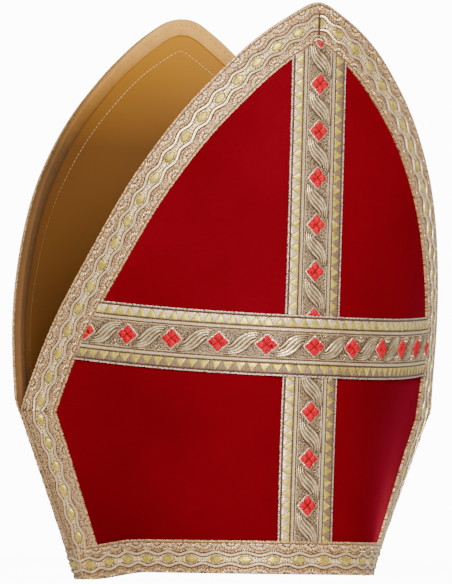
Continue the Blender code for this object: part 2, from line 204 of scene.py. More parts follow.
class Wall:
    """The curved wall. s runs round it from a panel's middle, z is the height and h the distance outward."""

    def __init__(self, form):
        self.form = form
        self.heights = np.linspace(0.0, form.height, HEIGHT_STEPS)
        self.ratios = np.linspace(0.0, 1.0, GIRTH_STEPS)
        share = np.sin(np.linspace(0, math.pi / 2, PLAN_STEPS))[None, :]
        self.girths, self.shares = {}, {}
        for side in (FRONT, REAR):
            x, y, _ = self.plan(side, self.heights[:, None], share)
            steps = np.hypot(np.diff(x, axis=1), np.diff(y, axis=1))
            reach = np.concatenate([np.zeros((len(x), 1)), np.cumsum(steps, axis=1)], axis=1)
            self.girths[side] = reach[:, -1]
            self.shares[side] = np.array([np.interp(self.ratios, row / row[-1], share[0]) for row in reach])
        front = form.depth * self.level("front", self.heights).max() + CROSS_FACE
        rear = form.depth * self.level("rear", self.heights).max() + form.velvet_face
        self.seam_plane = (front - rear) / 2

    def level(self, column, z):
        horn = self.form.height - self.form.knee
        heights = [row.seam * self.form.knee + row.horn * horn for row in LEVELS]
        return through(heights, [getattr(row, column) for row in LEVELS], z)

    def plan(self, side, z, share):
        form = self.form
        flare = (form.knee_width - form.hem_width) / form.knee
        above = np.maximum(z - form.knee, 0.0)
        faded = form.fade * (1 - np.exp(-above / form.fade))
        width = form.hem_width + flare * (np.minimum(z, form.knee) + faded)
        depth = form.depth * self.level("front" if side == FRONT else "rear", z)
        full = self.level("fullness", z)
        pinch = self.level("closing", z) - 1 - full
        t = share * share
        swell = 1 + full * t + pinch * t * t
        slope = side * depth * 2 * share * ((1 - t) * (full + 2 * pinch * t) - swell) / width
        return width * share, side * depth * (1 - t) * swell, slope

    def half_girth(self, side, z):
        return np.interp(z, self.heights, self.girths[side])

    def place(self, side, s, z, h):
        """Points of the wall in space. Seen from outside, s runs to the right on both sides."""
        h = h * self.pressed(side, np.abs(s), z)
        z = z + self.peak_lift(side, s, z)
        s = -side * np.asarray(s, float)
        ratio = np.clip(np.abs(s) / self.half_girth(side, z), 0.0, 1.0) * (len(self.ratios) - 1)
        row = np.clip(np.asarray(z, float) / self.form.height, 0.0, 1.0) * (len(self.heights) - 1)
        i = np.minimum(row.astype(int), len(self.heights) - 2)
        j = np.minimum(ratio.astype(int), len(self.ratios) - 2)
        a, b, table = row - i, ratio - j, self.shares[side]
        low = table[i, j] * (1 - b) + table[i, j + 1] * b
        high = table[i + 1, j] * (1 - b) + table[i + 1, j + 1] * b
        share = low * (1 - a) + high * a
        x, y, slope = self.plan(side, z, share)
        length = np.hypot(1.0, slope)
        x = np.sign(s) * (x - side * slope / length * h)
        y = y + side * (h / length + SEAM_GAP) + self.seam_plane
        return np.stack([x, y, z], axis=-1)

    def peak_lift(self, side, s, z):
        """How far the cloth stands above the flat pattern near a peak, which is blunt there."""
        peak = PEAKS[side]
        lowered = peak.blunt * np.maximum(1 - np.abs(s) / peak.reach, 0.0) ** 2
        return smooth_step((z - PEAK_START) / PEAK_FADE) * (peak.raised - lowered)

    def around(self, side, s, z, h):
        """Points of the wall, also past its seams, where they lie on the other panel."""
        beyond = np.abs(s) - self.half_girth(side, z)
        other = -np.sign(s) * (self.half_girth(-side, z) - np.maximum(beyond, 0.0))
        return np.where((beyond > 0)[:, None], self.place(-side, other, z, h), self.place(side, s, z, h))

    def pressed(self, side, s, z):
        """How much of their thickness the layers keep: they are pressed together at the seam."""
        inward = self.half_girth(side, z) - s
        below_knee = smooth_step((self.form.knee + PRESSED_HEIGHT - z) / PRESSED_HEIGHT)
        return 1 - PRESSED_SHARE * below_knee * smooth_step(1 - inward / PRESSED_REACH)

    def knee(self, side):
        """The knee on the flat pattern."""
        return np.array([float(self.half_girth(side, self.form.knee)), self.form.knee])

    def edge_reach(self, side, z):
        """How far a panel reaches from its middle: to the seam, and above the knee to the horn's edge."""
        form = self.form
        up_horn = np.clip((z - form.knee) / (form.height - form.knee), 0.0, 1.0)
        stations, girths = zip(*HORN_OUTLINE)
        girth = through(stations, girths, up_horn)
        horn = form.peak + np.maximum(girth, 0.0) * (self.half_girth(side, form.knee) - form.peak)
        return np.where(z <= form.knee, self.half_girth(side, z), horn)

    def hem_height(self, side, share):
        """The hem's lift, by the share of the way from seam to seam. It rests on its left foot alone."""
        left = smooth_step((LEFT_FOOT.edge - side * share) / LEFT_FOOT.fade)
        right = smooth_step((RIGHT_FOOT.edge + side * share) / RIGHT_FOOT.fade)
        return self.form.rise * np.minimum(left, right)

    def stretch(self, side, z):
        """How much longer the trimmings' face is than the inner face, round the wall at a height."""
        s = np.linspace(0.0, float(self.half_girth(side, z)), 90)
        face = self.place(side, s, np.full(len(s), z), self.form.tape_face)
        return float(np.linalg.norm(np.diff(face, axis=0), axis=1).sum() / s[-1])

    def seam_line(self, side, count=60):
        """The seam on the flat pattern, run on straight below the hem and above the knee."""
        z = np.linspace(0.0, self.form.knee, count)
        return run_on(np.stack([self.half_girth(side, z), z], axis=1))

    def horn_line(self, side, count=260):
        """The horn's edge on the flat pattern, run on straight at both ends."""
        form = self.form
        z = form.knee + (form.height - form.knee) * crowded(np.linspace(0, 1, count))
        z[0] += 1e-6
        return run_on(np.stack([self.edge_reach(side, z), z], axis=1))

    def horn_strip(self, side):
        """The strip along the horn's edge, counted from the knee."""
        return Strip(self.horn_line(side), 0.0, self.knee(side))

    def hem_line(self, side, count=240):
        half = float(self.half_girth(side, 0.02)) + 0.01
        s = np.linspace(-half, half, count)
        return np.stack([s, self.hem_height(side, s / float(self.half_girth(side, 0.0)))], axis=1)


def crowded(share):
    """Even steps from 0 to 1 that are drawn closer together towards the end."""
    return np.sin(share * CLIMB) / math.sin(CLIMB)


def run_on(line, length=0.03):
    """A line with a straight piece added at each end."""
    start = line[0] - line[1]
    end = line[-1] - line[-2]
    start *= length / np.linalg.norm(start)
    end *= length / np.linalg.norm(end)
    return np.vstack([line[0] + start, line, line[-1] + end])


class Strip:
    """The line on the flat pattern that a trimming follows. Its far edge lies to the left of the line."""

    def __init__(self, line, width=0.0, zero=None, overhang=None, under=0.0, eased=1.0):
        self.overhang, self.under, self.eased = overhang, under, eased
        along = np.gradient(line, axis=0)
        along /= np.linalg.norm(along, axis=1)[:, None]
        self.line = line
        self.across = np.stack([-along[:, 1], along[:, 0]], axis=1)
        middle = line + self.across * width / 2
        self.reach = np.concatenate([[0], np.cumsum(np.linalg.norm(np.diff(middle, axis=0), axis=1))])
        if zero is not None:
            nearest = np.argmin(np.linalg.norm(line - np.asarray(zero), axis=1))
            self.reach -= self.reach[nearest]

    def points(self, u, v):
        base = np.stack([np.interp(u, self.reach, self.line[:, i]) for i in (0, 1)], axis=-1)
        across = np.stack([np.interp(u, self.reach, self.across[:, i]) for i in (0, 1)], axis=-1)
        return base + across * np.asarray(v)[..., None]


# Helpers round Blender's operators


def only(*items):
    bpy.ops.object.select_all(action="DESELECT")
    for item in items:
        item.select_set(True)
    bpy.context.view_layer.objects.active = items[0]
    return items[0]


def coordinates(item):
    points = np.empty(len(item.data.vertices) * 3)
    item.data.vertices.foreach_get("co", points)
    return points.reshape(-1, 3)


def set_coordinates(item, points):
    item.data.vertices.foreach_set("co", np.asarray(points, float).ravel())
    item.data.update()
    return item


def named(item, name):
    item.name = item.data.name = name
    return item


def joined(name, items):
    item = only(*items)
    if len(items) > 1:
        bpy.ops.object.join()
    return named(item, name)


def applied(item, kind, **settings):
    """Add a modifier, set it and apply it."""
    modifier = item.modifiers.new(kind.title(), kind)
    for key, value in settings.items():
        setattr(modifier, key, value)
    only(item)
    bpy.ops.object.modifier_apply(modifier=modifier.name)
    return item


def grain(centre, radii, angle=0.0, segments=5, rings=3):
    """A small rounded stitch lying flat: an ellipsoid."""
    bpy.ops.mesh.primitive_uv_sphere_add(segments=segments, ring_count=rings, radius=1.0)
    item = bpy.context.object
    item.scale = [radius * MM for radius in radii]
    item.rotation_euler = (0, 0, angle)
    item.location = [value * MM for value in centre]
    bpy.ops.object.transform_apply(location=True, rotation=True, scale=True)
    return item


def pad(outline, base, height, shoulder):
    """A raised patch with sloped shoulders on an outline given in millimetres."""
    turning = sum(a[0] * b[1] - a[1] * b[0] for a, b in zip(outline, outline[1:] + outline[:1]))
    if turning < 0:
        outline = outline[::-1]
    bpy.ops.mesh.primitive_circle_add(vertices=len(outline), radius=1.0, fill_type="NGON")
    item = bpy.context.object
    set_coordinates(item, [(x * MM, y * MM, base * MM) for x, y in outline])
    bpy.ops.object.mode_set(mode="EDIT")
    bpy.ops.mesh.select_all(action="SELECT")
    bpy.ops.mesh.extrude_region_move(TRANSFORM_OT_translate={"value": (0, 0, height * 0.45 * MM)})
    bpy.ops.mesh.inset(thickness=shoulder * MM, depth=height * 0.4 * MM)
    bpy.ops.mesh.inset(thickness=shoulder * 0.9 * MM, depth=height * 0.15 * MM)
    bpy.ops.object.mode_set(mode="OBJECT")
    return item


def thread(points, radius, sides=1, flat=1.0, taper=0.0):
    """A raised thread along points (x, y, height) given in millimetres, at the height of the first."""
    curve = bpy.data.curves.new("thread", "CURVE")
    curve.dimensions = "3D"
    curve.bevel_depth = radius * MM
    curve.bevel_resolution = sides
    curve.use_fill_caps = True
    spline = curve.splines.new("POLY")
    spline.points.add(len(points) - 1)
    for index, (x, y, _) in enumerate(points):
        spline.points[index].co = (x * MM, y * MM, 0.0, 1.0)
        reach = abs(2 * index / (len(points) - 1) - 1)
        spline.points[index].radius = 1 - taper * reach**3
    item = bpy.data.objects.new("thread", curve)
    bpy.context.collection.objects.link(item)
    only(item)
    bpy.ops.object.convert(target="MESH")
    item = bpy.context.object
    flattened = coordinates(item)
    flattened[:, 2] = flattened[:, 2] * flat + points[0][2] * MM
    return set_coordinates(item, flattened)


def repeated(item, pitch, first, count):
    """Array one repeat along the strip, the first one starting at a place."""
    steps = {"use_relative_offset": False, "use_constant_offset": True}
    applied(item, "ARRAY", count=count, constant_offset_displace=(pitch, 0, 0), **steps)
    return moved(item, first)


def moved(item, x, y=0.0):
    points = coordinates(item)
    points[:, :2] += (x, y)
    return set_coordinates(item, points)


def row_of(item, name, ease, pitch, first, count):
    """A row of copies of one repeat, each eased to the pitch."""
    twin = item.copy()
    twin.data = item.data.copy()
    bpy.context.collection.objects.link(named(twin, name))
    points = coordinates(twin)
    points[:, 0] *= ease
    return repeated(set_coordinates(twin, points), pitch, first, count)


def note_flat(item):
    """Keep the strip's own coordinates as the UV map that the woven materials read."""
    mesh = item.data
    while mesh.uv_layers:
        mesh.uv_layers.remove(mesh.uv_layers[0])
    layer = mesh.uv_layers.new(name="flat")
    points = coordinates(item)
    corner = np.empty(len(mesh.loops), int)
    mesh.loops.foreach_get("vertex_index", corner)
    layer.data.foreach_set("uv", points[corner, :2].ravel())
    return item


def laid(item, strip):
    """Lay a flat piece along its strip on the flat pattern. What lies before its edge is folded down."""
    note_flat(item)
    points = coordinates(item)
    points[:, 1] = points[:, 1] * strip.eased - strip.under
    if strip.overhang is not None:
        before = np.minimum(points[:, 1] + strip.overhang, 0.0)
        points[:, 2] += before
        points[:, 1] -= before
    points[:, :2] = strip.points(points[:, 0], points[:, 1])
    return set_coordinates(item, points)


def trimmed(item, point, outward):
    """Cut away what lies beyond a line on the flat pattern."""
    only(item)
    bpy.ops.object.mode_set(mode="EDIT")
    bpy.ops.mesh.select_all(action="SELECT")
    bpy.ops.mesh.bisect(
        plane_co=(point[0], point[1], 0.0),
        plane_no=(outward[0], outward[1], 0.0),
        clear_outer=True,
        threshold=1e-7,
    )
    bpy.ops.object.mode_set(mode="OBJECT")
    return item


def both_halves(item):
    return applied(item, "MIRROR", use_axis=(True, False, False), use_mirror_merge=False)


def wrapped(item, wall, side, lift=None):
    """Wrap a piece from the flat pattern on the wall."""
    s, z, h = coordinates(item).T
    if lift is not None:
        h = h + lift(s, z)
    set_coordinates(item, wall.around(side, s, z, h))
    only(item)
    bpy.ops.object.shade_smooth_by_angle(angle=math.radians(50))
    return item


def finished(item, material, slot, *nodes):
    """Give a piece its material and its place in the frame."""
    item.data.materials.clear()
    item.data.materials.append(material)
    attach(item, "root")
    if nodes:
        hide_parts(*nodes)
    return item


# Materials


class Surface:
    """A material in the making: the shader and short ways to add nodes to it."""

    def __init__(self, name, roughness, metallic=0.0):
        self.material = bpy.data.materials.new(name)
        self.material.use_nodes = True
        self.nodes = self.material.node_tree.nodes
        self.links = self.material.node_tree.links
        self.shader = self.nodes["Principled BSDF"]
        self.shader.inputs["Roughness"].default_value = roughness
        self.shader.inputs["Metallic"].default_value = metallic

    def node(self, kind, settings=None, **inputs):
        made = self.nodes.new(kind)
        for key, value in (settings or {}).items():
            setattr(made, key, value)
        for key, value in inputs.items():
            self.join(value, made.inputs[key.replace("_", " ")])
        return made

    def join(self, value, socket):
        if isinstance(value, bpy.types.NodeSocket):
            self.links.new(value, socket)
        else:
            socket.default_value = value

    def flat(self, scale=1.0, angle=0.0):
        """The strip's coordinates, scaled and turned."""
        uv = self.node("ShaderNodeUVMap", {"uv_map": "flat"})
        mapping = self.node("ShaderNodeMapping", Vector=uv.outputs["UV"])
        mapping.inputs["Rotation"].default_value = (0, 0, angle)
        mapping.inputs["Scale"].default_value = (scale, scale, 1)
        return mapping.outputs["Vector"]

    def waves(self, direction, pitch, distortion, angle=0.0):
        """Fine waves over the strip, a pitch apart."""
        kind = {"wave_type": "BANDS", "bands_direction": direction}
        flat = self.flat(1 / pitch, angle)
        made = self.node("ShaderNodeTexWave", kind, Vector=flat, Scale=0.32, Distortion=distortion)
        return made.outputs["Fac"]

    def spot(self, scale, detail=2.0, vector=None):
        """Noise on the object's own coordinates, or on others."""
        vector = vector or self.node("ShaderNodeTexCoord").outputs["Object"]
        kind = {"noise_dimensions": "3D"}
        return self.node("ShaderNodeTexNoise", kind, Vector=vector, Scale=scale, Detail=detail).outputs["Fac"]

    def ramp(self, factor, stops, interpolation="LINEAR"):
        made = self.node("ShaderNodeValToRGB", Fac=factor)
        made.color_ramp.interpolation = interpolation
        elements = made.color_ramp.elements
        while len(elements) < len(stops):
            elements.new(0.5)
        for element, (place, colour) in zip(elements, stops):
            element.position = place
            element.color = (*colour, 1.0)
        return made.outputs["Color"]

    def tones(self, scale, detail, colour, share):
        """A colour in soft spots, and a share of it between them."""
        darker = [share * value for value in colour]
        return self.ramp(self.spot(scale, detail), ((0.3, darker), (0.7, colour)))

    def math(self, operation, a, b=0.0):
        made = self.nodes.new("ShaderNodeMath")
        made.operation = operation
        self.join(a, made.inputs[0])
        self.join(b, made.inputs[1])
        return made.outputs[0]

    def mixed(self, a, share_a, b, share_b):
        return self.math("ADD", self.math("MULTIPLY", a, share_a), self.math("MULTIPLY", b, share_b))

    def colour(self, value):
        value = value if isinstance(value, bpy.types.NodeSocket) else (*value, 1.0)
        self.join(value, self.shader.inputs["Base Color"])

    def paint_shade(self, colour, stops):
        """Set a colour darkened by painted shade that changes with height. The stops are shares of the
        height, with what is left of the colour there.
        """
        place = self.node("ShaderNodeSeparateXYZ", Vector=self.node("ShaderNodeTexCoord").outputs["Object"])
        share = self.math("DIVIDE", place.outputs["Z"], bpy.context.scene.mitre_form.height)
        self.colour(self.product(colour, self.ramp(share, stops)))

    def product(self, a, b):
        made = self.node("ShaderNodeMix", {"data_type": "RGBA", "blend_type": "MULTIPLY"})
        made.inputs["Factor"].default_value = 1.0
        self.links.new(a, made.inputs["A"])
        self.links.new(b, made.inputs["B"])
        return made.outputs["Result"]

    def bump(self, height, strength, distance):
        made = self.node("ShaderNodeBump", Height=height, Strength=strength, Distance=distance)
        self.links.new(made.outputs["Normal"], self.shader.inputs["Normal"])


# Painted shade that changes with height: shares of the height, with how much of each colour channel is left
# there. The velvet is a little darker towards the hem.
VELVET_PAINTED_SHADE = ((0.05, (0.87, 0.87, 0.87)), (0.6, (1, 1, 1)))
# Painted shade on the lining: darkest from half to three quarters of the height, lighter at the top.
LINING_PAINTED_SHADE = (
    (0.3, (0.5, 0.4, 1.0)),
    (0.5, (0.33, 0.275, 1.0)),
    (0.765, (0.29, 0.248, 0.9)),
    (0.85, (0.52, 0.475, 1.3)),
    (0.96, (0.92, 0.88, 0.6)),
)
# Painted shade on the binding: dark up to about four fifths of the height, lighter towards the peaks.
BINDING_PAINTED_SHADE = (
    (0.3, (0.18, 0.135, 0.09)),
    (0.75, (0.14, 0.112, 0.08)),
    (0.83, (0.33, 0.27, 0.17)),
    (0.9, (0.66, 0.58, 0.46)),
    (0.97, (1, 1, 1)),
)
# Painted shade on the stitches: dark below two thirds of the height, full colour near the top.
STITCH_PAINTED_SHADE = ((0.65, (0.2, 0.16, 0.12)), (0.9, (1, 1, 1)))


def velvet_pile(colours):
    surface = Surface("velvet_pile", 0.9)
    # Painted shade: the velvet is darkened towards the hem.
    surface.paint_shade(surface.tones(14.0, 3.0, colours.velvet, 0.79), VELVET_PAINTED_SHADE)
    surface.shader.inputs["Sheen Weight"].default_value = 0.2
    surface.shader.inputs["Sheen Tint"].default_value = (1.0, 0.06, 0.12, 1.0)
    surface.shader.inputs["Sheen Roughness"].default_value = 0.3
    surface.shader.inputs["Specular IOR Level"].default_value = 0.0
    surface.bump(surface.spot(2600.0, 1.0), 0.25, 0.0002)
    return surface.material


def cotton(colours):
    surface = Surface("cotton", 0.62)
    # Painted shade: the lining is darkened below the top.
    surface.paint_shade(surface.tones(9.0, 2.0, colours.lining, 0.83), LINING_PAINTED_SHADE)
    surface.shader.inputs["Specular IOR Level"].default_value = 0.3
    surface.bump(surface.spot(1500.0), 0.15, 0.0002)
    return surface.material


def bias_tape(colours):
    surface = Surface("bias_tape", 0.8)
    # Painted shade: the binding is darkened below the top.
    surface.paint_shade(surface.tones(160.0, 3.0, colours.binding, 0.845), BINDING_PAINTED_SHADE)
    surface.bump(surface.spot(1800.0), 0.2, 0.0002)
    return surface.material


def stitch(colours):
    surface = Surface("stitch", 0.8)
    # Painted shade: the stitches are darkened below the top.
    surface.paint_shade(surface.tones(420.0, 2.0, colours.stitches, 0.7), STITCH_PAINTED_SHADE)
    return surface.material


# The threads of the trimmings. The relief is how deep their lines are, a pitch apart
Finish = namedtuple("Finish", "dark light roughness metallic relief pitch angle", defaults=(0.6, 0.0006, 0.0))
METAL_THREADS = {
    "silver": Finish((0.58, 0.39, 0.22), (1.0, 0.84, 0.56), 0.24, 0.7),
    "pale_gold": Finish((0.64, 0.42, 0.20), (1.0, 0.84, 0.50), 0.24, 0.6, relief=0.5),
    "copper": Finish((0.18, 0.08, 0.03), (0.45, 0.25, 0.105), 0.4, 0.4),
    "brown": Finish((0.045, 0.018, 0.008), (0.13, 0.065, 0.03), 0.5, 0.3),
    # A darker thread for the small teeth on one edge of the wide bands: painted shade.
    "grey": Finish((0.14, 0.085, 0.05), (0.34, 0.22, 0.13), 0.42, 0.5),
    "dark_stitch": Finish((0.12, 0.05, 0.015), (0.20, 0.10, 0.03), 0.8, 0.0),
}
SATIN_THREADS = {
    "leaf": Finish((0.42, 0.275, 0.125), (1.0, 0.83, 0.50), 0.24, 0.72, pitch=0.0011, angle=-0.9),
    "yellow": Finish((0.34, 0.24, 0.012), None, 0.3, 0.6),
    "red_satin": Finish((0.40, 0.0, 0.009), None, 0.5, 0.0),
    # A darker red for the creases of the lozenges: painted shade.
    "crimson": Finish((0.13, 0.0, 0.003), (0.2, 0.0, 0.004), 0.6, 0.0),
}


def metal_thread(name, finish):
    """Woven metal thread: fine ribs across the strip, uneven in tone."""
    surface = Surface(name, finish.roughness, finish.metallic)
    ribs = surface.waves("X", 0.0009, 1.5)
    tone = surface.mixed(ribs, 0.45, surface.spot(420.0, 3.0), 0.7)
    surface.colour(surface.ramp(tone, ((0.25, finish.dark), (0.8, finish.light))))
    surface.bump(ribs, finish.relief, 0.00025)
    return surface.material


def satin(name, finish, light):
    """Long floats of satin thread, seen as fine lines."""
    surface = Surface(name, finish.roughness, finish.metallic)
    lines = surface.waves("Y", finish.pitch, 1.0, finish.angle)
    tone = surface.mixed(lines, 0.16, surface.spot(330.0), 0.9)
    surface.colour(surface.ramp(tone, ((0.3, finish.dark), (0.8, light))))
    surface.bump(lines, 0.3, 0.0002)
    if not finish.metallic:
        surface.shader.inputs["Specular IOR Level"].default_value = 0.15
    return surface.material


# The woven grounds: where each colour starts across the strip, in hundredths of its width
TAN_RIM, DARK_LINE, COPPER_GROUND = (0.55, 0.34, 0.15), (0.17, 0.08, 0.03), (0.37, 0.215, 0.09)
GREY_RIM, BLACK_LINE, BROWN_LINE = (0.45, 0.34, 0.26), (0.10, 0.05, 0.04), (0.10, 0.06, 0.04)
GALLOON_ZONES = (
    (0, TAN_RIM),
    (4, DARK_LINE),
    (9, COPPER_GROUND),
    (34, (0.60, 0.42, 0.19)),
    (66, COPPER_GROUND),
    (91, DARK_LINE),
    (96, TAN_RIM),
)
BAND_ZONES = (
    (0, GREY_RIM),
    (2, BLACK_LINE),
    (6, (0.20, 0.13, 0.065)),
    (18, BROWN_LINE),
    (29, (0.17, 0.112, 0.062)),
    (71, BROWN_LINE),
    # The zones at 6 and 82 lie under the teeth. This one is lighter: painted light on the top edge of the
    # cross band and the left edge of the upright, and the zone at 6 is painted shade.
    (82, (0.34, 0.25, 0.16)),
    (94, BLACK_LINE),
    (98, GREY_RIM),
)


def ground(name, zones, low, width, metallic):
    """A woven ground whose colour changes across the strip, speckled with the weave."""
    surface = Surface(name, 0.45, metallic)
    across = surface.node("ShaderNodeSeparateXYZ", Vector=surface.flat()).outputs["Y"]
    share = surface.math("DIVIDE", surface.math("SUBTRACT", across, low), width)
    bands = surface.ramp(share, [(place / 100, colour) for place, colour in zones], "CONSTANT")
    speck = surface.spot(1.0, vector=surface.flat(1100.0, 0.6))
    weave = surface.ramp(speck, ((0.41, (0.2, 0.2, 0.2)), (0.59, (1.9, 1.9, 1.9))))
    surface.colour(surface.product(bands, weave))
    surface.bump(speck, 1.0, 0.0004)
    return surface.material


def material(name):
    """The material of a name, made when it is first asked for."""
    trim, colours = bpy.context.scene.mitre_trim, bpy.context.scene.mitre_colours
    own = {"yellow": colours.ovals, "red_satin": colours.lozenges}
    if name in bpy.data.materials:
        return bpy.data.materials[name]
    if name in METAL_THREADS:
        return metal_thread(name, METAL_THREADS[name])
    if name in SATIN_THREADS:
        return satin(name, SATIN_THREADS[name], SATIN_THREADS[name].light or own[name])
    if name == "galloon_ground":
        return ground(name, GALLOON_ZONES, 0.0, trim.galloon, 0.45)
    if name == "band_ground":
        return ground(name, BAND_ZONES, -trim.band / 2, trim.band, 0.4)
    cloths = {"velvet_pile": velvet_pile, "cotton": cotton, "bias_tape": bias_tape, "stitch": stitch}
    return cloths[name](colours)


# Flat motifs, in millimetres


def lens(length, width):
    """The outline of a pointed oval."""
    angle = np.linspace(0, 2 * math.pi, 16, endpoint=False)
    x, y = np.cos(angle), np.sin(angle)
    norm = (np.abs(x) ** 1.5 + np.abs(y) ** 1.5) ** (1 / 1.5)
    return [(length / 2 * a / n, width / 2 * b / n) for a, b, n in zip(x, y, norm)]


def shifted(outline, x, y):
    return [(a + x, b + y) for a, b in outline]


def fan(centre, edge, sign, inner, outer, count, stretch, radius, top, spread):
    """Strokes that spread from a point on an edge, between two distances."""
    strokes = []
    for angle in np.linspace(90 - spread / 2, 90 + spread / 2, count):
        turned = math.radians(angle)
        aim = (math.cos(turned) * stretch, -sign * math.sin(turned))
        middle = (inner + outer) / 2
        length = (outer - inner) / 2 * math.hypot(*aim)
        place = (centre + middle * aim[0], edge + middle * aim[1], top)
        strokes.append(grain(place, (length, radius, 0.5), math.atan2(aim[1], aim[0])))
    return strokes


def straight(pitch, v, height, count):
    """A line along one repeat."""
    return [(u, v, height) for u in np.linspace(0, pitch, count)]


def arch(centre, edge, sign, long, high, height, margin, count):
    """Half an oval that bulges from an edge towards the middle."""
    angles = np.linspace(margin, math.pi - margin, count)
    return [(centre + long * math.cos(a), edge - sign * high * math.sin(a), height) for a in angles]


def edging(pitch, v, height, count, radii, angle):
    """A row of small stitches along one repeat."""
    return [grain(((index + 0.5) * pitch / count, v, height), radii, angle) for index in range(count)]


def galloon_parts(width, pitch, top):
    """One repeat of the galloon, from its outer edge at 0 to its inner edge at the width."""
    middle, centre = width / 2, pitch / 2
    silver, pale, copper, brown, yellow = [], [], [], [], []
    for sign in (-1, 1):
        swing = [3.15 + 0.85 * math.cos(2 * math.pi * u / pitch) for u in np.linspace(0, pitch, 17)]
        wave = [(u, middle + sign * v, top + 0.2) for u, v in zip(np.linspace(0, pitch, 17), swing)]
        silver.append(thread(wave, 0.85, flat=0.95))
        for shift in (1.0, -0.95):
            brown.append(thread([(u, v + sign * shift, top) for u, v, _ in wave], 0.38, sides=0))
        edge = middle + sign * (middle - 1.75)
        pale += fan(centre, edge, sign, 0.1, 1.5, 3, 1.3, 0.46, top + 0.2, 130)
        silver += fan(centre, edge, sign, 1.8, 3.8, 8, 1.35, 0.47, top + 0.2, 165)
        brown.append(thread(arch(centre, edge, sign, 2.15, 1.6, top, 0.0, 9), 0.2, sides=0))
        large = arch(centre, edge, sign, 5.1, 3.75, top + 0.05, 0.12, 13)
        copper.append(thread(large, 0.3, sides=0, flat=0.9))
        for side in (-1, 1):
            for reach in (0.9, 1.75, 2.6):
                place = (centre * (1 - side) + side * reach, edge - sign * (1.5 - 0.3 * reach), top + 0.1)
                pale.append(grain(place, (0.38, 1.35 - 0.3 * reach, 0.55), side * sign * 0.45))
        copper.append(thread(straight(pitch, middle + sign * (middle - 1.3), top - 0.02, 9), 0.26, sides=0))
        copper.append(thread(straight(pitch, middle + sign * (middle - 0.35), top - 0.25, 9), 0.3, sides=0))
        pale += edging(pitch, middle + sign * (middle - 0.8), top - 0.2, 11, (0.5, 0.24, 0.38), 0.6)
    for index in range(-2, 3):
        offset = index * 1.15
        for x, y in ((offset, middle + 5.2), (centre + offset, middle - 1.15)):
            silver.append(grain((x, y, top + 0.15), (0.32, 0.8 - 0.14 * abs(index), 0.45), -offset * 0.15))
        pale.append(grain((centre + index * 1.4, middle, top - 0.05), (0.42, 1.1, 0.3)))
    brown.append(pad(shifted(lens(7.9, 5.0), 0, middle), top - 0.3, 0.45, 0.2))
    yellow.append(pad(shifted(lens(7.0, 4.3), 0, middle), top - 0.2, 0.85, 0.4))
    return {"silver": silver, "pale_gold": pale, "copper": copper, "brown": brown, "yellow": yellow}


def stepped(reach):
    """The outline of a diamond woven in steps."""
    corner = [(1.0, 0.0), (0.82, 0.34), (0.62, 0.34), (0.62, 0.62), (0.34, 0.62), (0.34, 0.82)]
    outline = []
    for quarter in range(4):
        c, s = round(math.cos(quarter * math.pi / 2)), round(math.sin(quarter * math.pi / 2))
        outline += [((x * c - y * s) * reach, (x * s + y * c) * reach) for x, y in corner]
    return outline


def strand(middle, rank, height):
    """A leaf strand, steep in the middle and level at both ends. A bundle's first runs on furthest on top."""
    steep = 1.2
    above, below = 6.4 - 3.3 * rank, 3.1 + 3.3 * rank
    ahead, behind = 13.5 - 11.0 * rank, 2.5 + 11.0 * rank
    line = []
    for u in np.linspace(-behind, ahead, 15):
        bound = above if u > 0 else below
        line.append((middle + u, bound * math.tanh(u * steep / bound), height))
    return line


